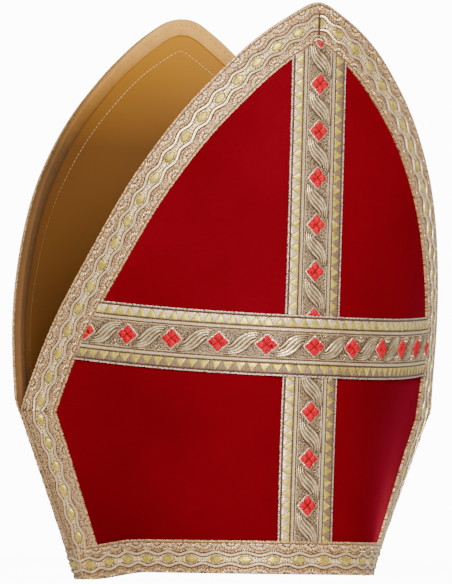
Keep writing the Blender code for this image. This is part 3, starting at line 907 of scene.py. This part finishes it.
def band_parts(width, pitch, top):
    """One repeat of the wide band about its middle line, with a lozenge at 0."""
    half = width / 2
    names = ("red_satin", "crimson", "pale_gold", "silver", "leaf", "grey", "brown", "yellow")
    parts = {name: [] for name in names}
    for x, y in ((3.1, 0), (-3.1, 0), (0, 2.95), (0, -2.95)):
        parts["red_satin"].append(pad(shifted(stepped(2.6), x, y), top - 0.05, 1.3, 0.5))
        parts["silver"].append(pad(shifted(stepped(3.4), x, y), top - 0.35, 0.45, 0.12))
    # A darker red under the petals, which shows in the creases between them: painted shade in the creases.
    parts["crimson"].append(pad(stepped(4.3), top - 0.1, 0.45, 0.3))
    for index in range(4):
        line = strand(pitch / 2 + (index - 1.5) * 2.75, index / 3, top + 0.15)
        parts["leaf"].append(thread(line, 1.1, sides=2, flat=0.8, taper=0.7))
    for index in range(5):
        line = strand(pitch / 2 + (index - 2) * 2.75, (index - 0.5) / 3, top + 0.6)
        parts["brown"].append(thread(line, 0.3, sides=0))
    for x, sign in ((6.3, 1), (pitch - 6.3, -1)):
        parts["pale_gold"] += fan(x, sign * 7.0, sign, 0.3, 1.5, 3, 1.2, 0.3, top + 0.1, 110)
        parts["pale_gold"] += fan(x, sign * 7.0, sign, 2.0, 3.6, 6, 1.2, 0.3, top + 0.1, 140)
    tooth = pitch / 4
    for sign in (-1, 1):
        parts["silver"].append(thread(straight(pitch, sign * 9.1, top + 0.1, 15), 0.85, flat=0.8))
        for name, place, height, radius in (
            ("brown", 7.95, -0.1, 0.3),
            ("pale_gold", 7.3, 0.02, 0.26),
            ("brown", 10.3, -0.1, 0.3),
            ("brown", half - 1.3, -0.1, 0.42),
        ):
            parts[name].append(thread(straight(pitch, sign * place, top + height, 15), radius, sides=0))
        parts["silver"] += edging(pitch, sign * (half - 0.42), top - 0.25, 22, (0.56, 0.32, 0.34), 0.5)
        base, tip = sign * 10.85, sign * (half - 1.9)
        for index in range(4):
            u, v = index * tooth, (index + 0.5) * tooth
            yellow = [(u - 2.95, base), (u + 2.95, base), (u + 0.25, tip), (u - 0.25, tip)]
            between = [(v - 2.7, tip), (v + 2.7, tip), (v + 0.2, base), (v - 0.2, base)]
            parts["yellow"].append(pad(yellow, top - 0.15, 0.5, 0.2))
            # The teeth between the yellow ones are pale gold on the top edge of the cross band and the left
            # edge of the upright, and darker on the other edge: painted light and painted shade on the same
            # teeth.
            parts["pale_gold" if sign > 0 else "grey"].append(pad(between, top - 0.2, 0.45, 0.2))
    return parts


def tape(length, width, low, thickness, step):
    """A flat tape from the origin, as a thick grid that can bend."""
    columns, rows = max(2, round(length / step)), max(2, round(width / step))
    bpy.ops.mesh.primitive_grid_add(x_subdivisions=columns, y_subdivisions=rows, size=1.0)
    item = bpy.context.object
    points = coordinates(item)
    points[:, 0] = (points[:, 0] + 0.5) * length
    points[:, 1] = (points[:, 1] + 0.5) * width
    points[:, 2] = low + thickness
    set_coordinates(item, points)
    return applied(item, "SOLIDIFY", thickness=thickness, offset=-1.0)


def knee_cut(wall, side, near=0.004):
    """The knee on the flat pattern and the direction up across the mitre there."""
    form, knee = wall.form, wall.knee(side)
    low, high = form.knee - near, form.knee + near
    below = knee - np.array([float(wall.half_girth(side, low)), low])
    above = np.array([float(wall.edge_reach(side, np.array(high))), high]) - knee
    up = below / np.linalg.norm(below) + above / np.linalg.norm(above)
    return knee, up / np.linalg.norm(up)


# The galloon: how far it is folded over the edges and under the hem, and how much of its ends the hem covers
HORN_LIP = 0.0014
SEAM_LIP = 0.0018
HEM_UNDER = 0.0024
HEM_COVER = 0.006
HEM_LIFT = 0.0006
HEM_END = {FRONT: 0.0028, REAR: -0.0031}
MIDDLE_CUT = ((0.0, 0.0), (-1.0, 0.0))


def galloon_legs(wall, trim, side):
    """The three stretches of a panel's galloon, on the horn's edge, the seam and the hem."""
    form, width = wall.form, trim.galloon
    knee, up = knee_cut(wall, side)
    horn = Strip(wall.horn_line(side), width, knee, 0.0)
    middle = horn.points(horn.reach, np.full(len(horn.reach), width / 2))
    peak = float(np.interp(0.0, -middle[:, 0], horn.reach))
    last_oval, first_oval = peak + 0.0004, 0.0105
    repeats = round((last_oval - first_oval) / trim.horn_pitch)
    pitch = (last_oval - first_oval) / repeats
    seam = Strip(wall.seam_line(side), width, knee, 0.0)
    below_hem = ((0.0, width - HEM_COVER), (0.0, -1.0))
    hem = Strip(wall.hem_line(side), width, None, 0.0, HEM_UNDER)
    hem.reach -= np.interp(0.0, hem.line[:, 0], hem.reach)
    foot, half = (float(wall.half_girth(side, z)) for z in (0.0, width))
    end = np.array([foot + HEM_END[side], 0.0])
    outward = np.array([width, foot - half])
    ends = ((end, outward), (end * [-1, 1], outward * [-1, 1]))

    def lifted(s, z):
        return np.full(len(s), HEM_LIFT)

    return (
        Leg(
            "horn", horn, -0.02, peak + 0.022, -HORN_LIP, width, last_oval, pitch,
            ((knee, -up), MIDDLE_CUT), True, None,
        ),
        Leg(
            "seam", seam, -form.knee, 0.02, -SEAM_LIP, width, -0.0093, trim.seam_pitch,
            ((knee, up), below_hem), True, None,
        ),
        Leg("hem", hem, -half, half, 0.0, width, trim.hem_shift, trim.hem_pitch, ends, False, lifted),
    )


def inner_edge(wall, trim):
    """The inner edge of the front galloon up the horn, a little inside it."""
    horn = Strip(wall.horn_line(FRONT), trim.galloon)
    return horn.points(horn.reach, np.full(len(horn.reach), trim.galloon - 0.001))


def upright_leg(wall, trim):
    """The upright band, from under the hem's galloon to under the galloon at the peak."""
    form, half = wall.form, trim.band / 2
    edge = inner_edge(wall, trim)[::-1]
    side, tip = (float(np.interp(s, edge[:, 0], edge[:, 1])) for s in (half, 0.0))
    z = np.linspace(trim.galloon - HEM_COVER, form.height, 160)
    strip = Strip(np.stack([np.full(len(z), trim.upright_shift), z], axis=1), eased=0.92)
    strip.reach += z[0]
    outward = np.array([tip - side, half])
    below_hem = ((0.0, trim.galloon + form.rise - 0.003), (0.0, -1.0))
    cuts = (((0.0, tip), outward), ((0.0, tip), outward * [-1, 1]), below_hem)
    phase = form.height - trim.first_lozenge
    return Leg("upright", strip, 0.0, form.height, -half, half, phase, trim.upright_pitch, cuts, False, None)


CROSS_REACH = 0.15
CROSS_SPAN = 0.1195
CROSS_LIFT = 0.0016
CROSS_SLOPE = 0.006


def cross_leg(wall, trim):
    """The cross band, from edge to edge of the horn, lifted where it lies over the upright band."""
    half = trim.band / 2
    s = np.linspace(-CROSS_REACH, CROSS_REACH, 200)
    share = s / CROSS_SPAN
    strip = Strip(np.stack([s, trim.cross + trim.bow * share**2 + trim.tilt * share], axis=1), eased=0.98)
    strip.reach -= np.interp(0.0, strip.line[:, 0], strip.reach)
    edge = inner_edge(wall, trim)
    levels = (trim.cross - half + 0.004, trim.cross + half + 0.008)
    cuts = []
    for sign in (-1, 1):
        low, high = (np.array([sign * float(np.interp(z, edge[:, 1], edge[:, 0])), z]) for z in levels)
        along = high - low
        cuts.append((low, (sign * along[1], -sign * along[0])))
    pitch = trim.band_pitch / wall.stretch(FRONT, trim.cross)

    def lifted(s, z):
        return CROSS_LIFT * smooth_step((half + CROSS_SLOPE - np.abs(s)) / CROSS_SLOPE)

    phase = trim.cross_shift
    return Leg("cross", strip, -CROSS_REACH, CROSS_REACH, -half, half, phase, pitch, cuts, False, lifted)


def woven(wall, side, leg, motif, own_pitch, name, margin, step):
    """The pieces of one stretch, wrapped on the wall: its ground and a row for each thread of the motif."""
    length = leg.last - leg.first + 2 * margin
    base = tape(length, leg.high - leg.low, wall.form.velvet_face + 0.0001, 0.0012, step)
    pieces = {name: moved(base, leg.first - margin, leg.low)}
    start = leg.phase - math.ceil((leg.phase - leg.first) / leg.pitch) * leg.pitch
    count = math.ceil((leg.last - start) / leg.pitch) + 1
    for part, item in motif.items():
        pieces[part] = row_of(item, part, leg.pitch / own_pitch, leg.pitch, start, count)
    for item in pieces.values():
        laid(item, leg.strip)
        for point, outward in leg.cuts:
            trimmed(item, point, outward)
        if leg.mirrored:
            both_halves(item)
        wrapped(item, wall, side, leg.lift)
    return pieces


def fold_lines(wall, trim, side):
    """Dark threads along the folds of the galloon at the peak and at the knees: painted shade in the creases.
    """
    knee, up = knee_cut(wall, side)
    along = np.array([-up[1], up[0]]) * trim.galloon
    top = (wall.form.tape_face + 0.0003) / MM
    start, length = wall.form.height - 0.0045, 0.0165
    at_knee = [(*(knee + along * share) / MM, top) for share in np.linspace(0.05, 1.02, 10)]
    at_peak = [(-0.3, (start - length * share) / MM, top + 0.85) for share in np.linspace(0.0, 1.0, 10)]
    creases = [both_halves(thread(at_knee, 0.2, sides=0)), thread(at_peak, 0.6, sides=1, taper=0.7)]
    return joined("folds", creases)


def hem_end(wall, side):
    """The folded end of the hem's galloon, which shows as two pale ridges beside the seam."""
    start = -float(wall.half_girth(side, 0.01)) / MM
    top = wall.form.tape_face / MM + 1.1
    ridges = []
    for inward in (4.6, 7.0):
        line = [(start + inward - 0.05 * z, z, top) for z in np.linspace(-0.2, 18.4, 12)]
        ridges.append(thread(line, 0.5, sides=1))
    return joined("ends", ridges)


class MITRE_OT_velvet(bpy.types.Operator):
    """Make the two velvet panels"""

    bl_idname = "mitre.velvet"
    bl_label = "Velvet panels"

    def execute(self, context):
        wall = Wall(context.scene.mitre_form)
        for side in (FRONT, REAR):
            name, uneven = NAMES[side], ripple(0.00015, 40.0, 1.0)
            item = shield(wall, side, 110, 120, wall.form.velvet_face, 0.0016, uneven, 0.0006)
            finished(named(item, f"{name}_velvet"), material("velvet_pile"), "velvet", f"{name}_panel")
        return {"FINISHED"}


def ripple(amount, scale, stretch):
    """A soft unevenness of the cloth."""

    def lift(s, z):
        places = [Vector((a * scale, b * scale * stretch, 3.0)) for a, b in zip(s, z)]
        return amount * np.array([noise.noise(place) for place in places])

    return lift


def shield(wall, side, columns, rows, face, thickness, lift, short=0.0):
    """A whole panel: a grid from edge to edge and from the hem to the peak, given a thickness."""
    bpy.ops.mesh.primitive_grid_add(x_subdivisions=columns, y_subdivisions=rows, size=2.0)
    item = bpy.context.object
    points = coordinates(item)
    share = points[:, 0]
    base = crowded((points[:, 1] + 1) / 2) * wall.form.height
    z = base + wall.hem_height(side, share) * np.clip(1 - base / wall.form.knee, 0.0, 1.0)
    s = share * (wall.edge_reach(side, z) - short)
    set_coordinates(item, np.stack([s, z, np.full(len(s), face)], axis=1))
    applied(item, "SOLIDIFY", thickness=thickness, offset=-1.0)
    note_flat(item)
    return wrapped(item, wall, side, lift)


class MITRE_OT_lining(bpy.types.Operator):
    """Make the cotton linings and the stitches along their edges"""

    bl_idname = "mitre.lining"
    bl_label = "Linings"

    def execute(self, context):
        wall = Wall(context.scene.mitre_form)
        for side in (FRONT, REAR):
            name = NAMES[side]
            item = shield(wall, side, 90, 100, 0.001, 0.001, ripple(0.0005, 22.0, 0.45))
            finished(named(item, f"{name}_lining_cloth"), material("cotton"), "lining", f"{name}_lining")
            row = edge_stitches(wall, side, 0.0165, 0.0028, (0.95, 0.22, 0.22), -0.00012)
            finished(named(row, f"{name}_lining_stitches"), material("stitch"), "lining")
        return {"FINISHED"}


def edge_stitches(wall, side, inward, pitch, radii, height):
    """Stitches along a horn's edge, at a distance inward from it."""
    horn = wall.horn_strip(side)
    count = int(horn.reach[-1] / pitch)
    item = repeated(grain((0, 0, height / MM), radii, 0.0, 5, 4), pitch, 0.004, count)
    laid(moved(item, 0.0, inward), horn)
    trimmed(item, *MIDDLE_CUT)
    return wrapped(both_halves(item), wall, side)


class MITRE_OT_binding(bpy.types.Operator):
    """Make the binding along the raw edges of the horns"""

    bl_idname = "mitre.binding"
    bl_label = "Bindings"

    def execute(self, context):
        wall = Wall(context.scene.mitre_form)
        trim = context.scene.mitre_trim
        inner = trim.binding / MM
        profile = (
            (inner, -0.6), (inner - 0.4, -0.9), (4.0, -0.95), (1.3, -0.95), (0.6, -0.8), (0.3, -0.45),
            (0.15, 0.2), (0.15, 1.3), (0.15, 2.1), (0.35, 2.6), (0.9, 2.7),
        )
        for side in (FRONT, REAR):
            name, horn = NAMES[side], wall.horn_strip(side)
            end = float(np.interp(wall.form.height, horn.line[:, 1], horn.reach)) + 0.02
            bpy.ops.mesh.primitive_grid_add(x_subdivisions=190, y_subdivisions=len(profile) - 1, size=1.0)
            item = bpy.context.object
            points = coordinates(item)
            row = np.rint((points[:, 1] + 0.5) * (len(profile) - 1)).astype(int)
            across, height = (np.array(profile) * MM)[row].T
            flat = np.stack([(points[:, 0] + 0.5) * end + 0.001, across, height], axis=1)
            laid(set_coordinates(item, flat), horn)
            applied(item, "SOLIDIFY", thickness=0.0006, offset=0.0)
            both_halves(trimmed(item, *MIDDLE_CUT))
            wrapped(named(item, f"{name}_binding_tape"), wall, side, ripple(0.0002, 90.0, 1.0))
            finished(item, material("bias_tape"), "binding", f"{name}_binding")
            stitches = edge_stitches(wall, side, 0.0029, 0.0038, (0.42, 0.2, 0.2), -0.0015)
            finished(named(stitches, f"{name}_binding_stitches"), material("dark_stitch"), "binding")
        return {"FINISHED"}


class MITRE_OT_galloon(bpy.types.Operator):
    """Make the woven galloon on the hem, the seams and the edges of the horns"""

    bl_idname = "mitre.galloon"
    bl_label = "Galloon"

    def execute(self, context):
        wall = Wall(context.scene.mitre_form)
        trim = context.scene.mitre_trim
        parts = galloon_parts(trim.galloon / MM, trim.galloon_pitch / MM, wall.form.tape_face / MM)
        motif = {name: joined(name, items) for name, items in parts.items()}
        for side in (FRONT, REAR):
            gathered = {}
            for leg in galloon_legs(wall, trim, side):
                place = "hem" if leg.name == "hem" else "border"
                pieces = woven(wall, side, leg, motif, trim.galloon_pitch, "galloon_ground", 0.002, 0.0014)
                for name, item in pieces.items():
                    gathered.setdefault((place, name), []).append(item)
            # The dark threads along the folds are painted shade.
            gathered["border", "brown"].append(wrapped(fold_lines(wall, trim, side), wall, side))
            if side == FRONT:
                gathered["hem", "silver"].append(wrapped(hem_end(wall, side), wall, side))
            for (place, name), items in gathered.items():
                node = f"{NAMES[side]}_{place}"
                replaced = [node] if name == "galloon_ground" else []
                finished(joined(f"{node}_{name}", items), material(name), "galloon", *replaced)
        for item in motif.values():
            bpy.data.objects.remove(item)
        return {"FINISHED"}


class MITRE_OT_bands(bpy.types.Operator):
    """Make the wide upright band and the wide cross band"""

    bl_idname = "mitre.bands"
    bl_label = "Wide bands"

    def execute(self, context):
        wall = Wall(context.scene.mitre_form)
        trim = context.scene.mitre_trim
        parts = band_parts(trim.band / MM, trim.band_pitch / MM, wall.form.tape_face / MM)
        motif = {name: joined(name, items) for name, items in parts.items()}
        for leg in (upright_leg(wall, trim), cross_leg(wall, trim)):
            pieces = woven(wall, FRONT, leg, motif, trim.band_pitch, "band_ground", 0.0, 0.0016)
            for name, item in pieces.items():
                replaced = [f"{leg.name}_orphrey"] if name == "band_ground" else []
                finished(named(item, f"{leg.name}_{name}"), material(name), "orphrey", *replaced)
        for item in motif.values():
            bpy.data.objects.remove(item)
        return {"FINISHED"}


class MITRE_OT_stage(bpy.types.Operator):
    """Make the floor, the backdrop, the lights and the camera"""

    bl_idname = "mitre.stage"
    bl_label = "Stage"

    def execute(self, context):
        stage = context.scene.mitre_stage
        backdrop()
        lights(stage)
        camera(stage, context.scene.mitre_form.height / 2)
        return {"FINISHED"}


def backdrop():
    """A pale floor, which the camera itself sees as plain white."""
    bpy.ops.mesh.primitive_plane_add(size=24.0)
    floor = named(bpy.context.object, "floor")
    surface = Surface("paper", 0.9)
    surface.colour((0.92, 0.92, 0.92))
    seen = surface.node("ShaderNodeLightPath").outputs["Is Camera Ray"]
    surface.shader.inputs["Emission Color"].default_value = (1, 1, 1, 1)
    surface.join(surface.math("MULTIPLY", seen, 12.0), surface.shader.inputs["Emission Strength"])
    floor.data.materials.append(surface.material)


Lamp = namedtuple("Lamp", "name place power colour")
LAMP_SIZE = 1.2
LAMP_TARGET = (0, 0, 0.16)
AMBIENT = 0.3
WHITE_OUT = 13.0


def lights(stage):
    """Three round lamps and an even surround, which the camera itself sees as plain white."""
    for lamp in (
        Lamp("key", (-0.6, -2.6, 1.25), stage.key, (1.0, 0.965, 0.93)),
        Lamp("fill", (-1.6, -2.0, 0.25), stage.fill, (1, 1, 1)),
        Lamp("rim", (2.0, 0.6, 0.9), stage.fill * 0.25, (1, 1, 1)),
    ):
        bpy.ops.object.light_add(type="AREA", location=lamp.place)
        light = named(bpy.context.object, lamp.name)
        light.data.shape = "DISK"
        light.data.size = LAMP_SIZE
        light.data.energy = lamp.power
        light.data.color = lamp.colour
        aim = Vector(LAMP_TARGET) - Vector(lamp.place)
        light.rotation_euler = aim.to_track_quat("-Z", "Y").to_euler()
    world = bpy.data.worlds.new("studio")
    bpy.context.scene.world = world
    world.use_nodes = True
    nodes, links = world.node_tree.nodes, world.node_tree.links
    nodes["Background"].inputs["Color"].default_value = (1, 1, 1, 1)
    seen = nodes.new("ShaderNodeLightPath")
    strength = nodes.new("ShaderNodeMapRange")
    strength.inputs["To Min"].default_value = AMBIENT
    strength.inputs["To Max"].default_value = WHITE_OUT
    links.new(seen.outputs["Is Camera Ray"], strength.inputs["Value"])
    links.new(strength.outputs["Result"], nodes["Background"].inputs["Strength"])


# The photograph's size in pixels, and a camera's usual sensor in millimetres
PICTURE_WIDTH = 452
PICTURE_HEIGHT = 584
SENSOR = 36.0


def camera(stage, middle):
    data = bpy.data.cameras.new("camera")
    item = bpy.data.objects.new("camera", data)
    bpy.context.collection.objects.link(item)
    level = math.cos(stage.elevation)
    aside, ahead = math.sin(stage.azimuth) * level, -math.cos(stage.azimuth) * level
    back = Vector((aside, ahead, math.sin(stage.elevation)))
    item.location = Vector((0, 0, middle)) + back * stage.distance
    item.rotation_euler = back.to_track_quat("Z", "Y").to_euler()
    item.rotation_euler.rotate_axis("Z", -stage.roll)
    data.sensor_width = SENSOR
    data.lens = stage.scale * stage.distance / PICTURE_HEIGHT * SENSOR
    data.shift_x = -(stage.middle_x - PICTURE_WIDTH / 2) / PICTURE_HEIGHT
    data.shift_y = (stage.middle_y - PICTURE_HEIGHT / 2) / PICTURE_HEIGHT
    data.clip_end = 60.0
    bpy.context.scene.camera = item


class MITRE_PT_panel(bpy.types.Panel):
    """Lists the steps of the mitre and its settings"""

    bl_idname = "MITRE_PT_panel"
    bl_label = "Bishop mitre"
    bl_space_type = "VIEW_3D"
    bl_region_type = "UI"
    bl_category = "Mitre"

    def draw(self, context):
        for operator in OPERATORS:
            self.layout.operator(operator.bl_idname)
        for group_name in GROUPS:
            box = self.layout.box()
            group = getattr(context.scene, group_name)
            for name in group.bl_rna.properties.keys():
                if name not in ("rna_type", "name"):
                    box.prop(group, name)


GROUPS = {
    "mitre_form": MITRE_PG_form,
    "mitre_trim": MITRE_PG_trim,
    "mitre_colours": MITRE_PG_colours,
    "mitre_stage": MITRE_PG_stage,
}
OPERATORS = (
    MITRE_OT_velvet,
    MITRE_OT_lining,
    MITRE_OT_binding,
    MITRE_OT_galloon,
    MITRE_OT_bands,
    MITRE_OT_stage,
)
CLASSES = (*GROUPS.values(), *OPERATORS, MITRE_PT_panel)


def register():
    for item in CLASSES:
        bpy.utils.register_class(item)
    for name, group in GROUPS.items():
        setattr(bpy.types.Scene, name, bpy.props.PointerProperty(type=group))


def unregister():
    for name in GROUPS:
        delattr(bpy.types.Scene, name)
    for item in reversed(CLASSES):
        bpy.utils.unregister_class(item)


def main():
    register()
    bpy.ops.mitre.velvet()
    bpy.ops.mitre.lining()
    bpy.ops.mitre.binding()
    bpy.ops.mitre.galloon()
    bpy.ops.mitre.bands()
    bpy.ops.mitre.stage()


if __name__ == "__main__":
    main()
